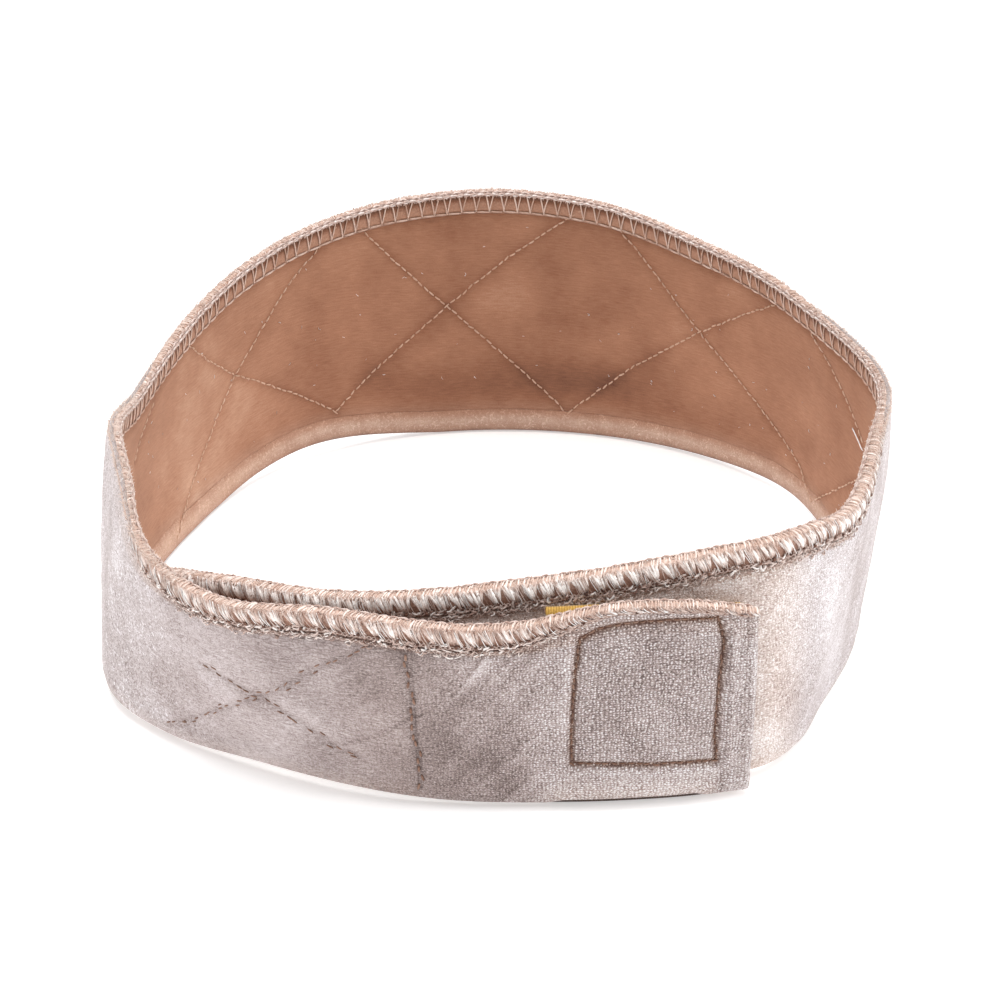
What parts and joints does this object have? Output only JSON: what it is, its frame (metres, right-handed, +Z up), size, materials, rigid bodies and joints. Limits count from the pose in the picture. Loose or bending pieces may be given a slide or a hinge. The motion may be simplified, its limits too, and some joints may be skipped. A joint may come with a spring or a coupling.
{
  "type": "wig grip band",
  "caption": "Soft velvet head band, taller at the front, lined with a grip velvet, overlock stitched along its top and closed at the back by overlapped straps with hook and loop tape.",
  "frame": {"origin": "under the middle of the band, on the surface that it stands on", "axes": "+Z up, +Y towards the front of the head, where the band is highest, -Y towards the closing straps"},
  "size_m": [0.1776, 0.1946, 0.0666],
  "materials": {
    "outer_velvet": "silver pink stretch velvet with a soft sheen and a fine knit grain",
    "inner_velvet": "caramel short pile grip velvet, matt",
    "overlock_thread": "pale pink beige bulked polyester thread, slightly glossy",
    "hook_tape": "brown woven nylon hook tape, matt",
    "loop_tape": "golden ribbed brushed loop tape, matt"
  },
  "bodies": {
    "root": {"band_velvet": "outer_velvet", "hook_strap_velvet": "outer_velvet", "loop_strap_velvet": "outer_velvet", "band_lining": "inner_velvet", "hook_strap_lining": "inner_velvet", "loop_strap_lining": "inner_velvet", "overlock_edge": "overlock_thread", "hook_tape": "hook_tape", "loop_tape": "loop_tape"}
  },
  "joints": []
}
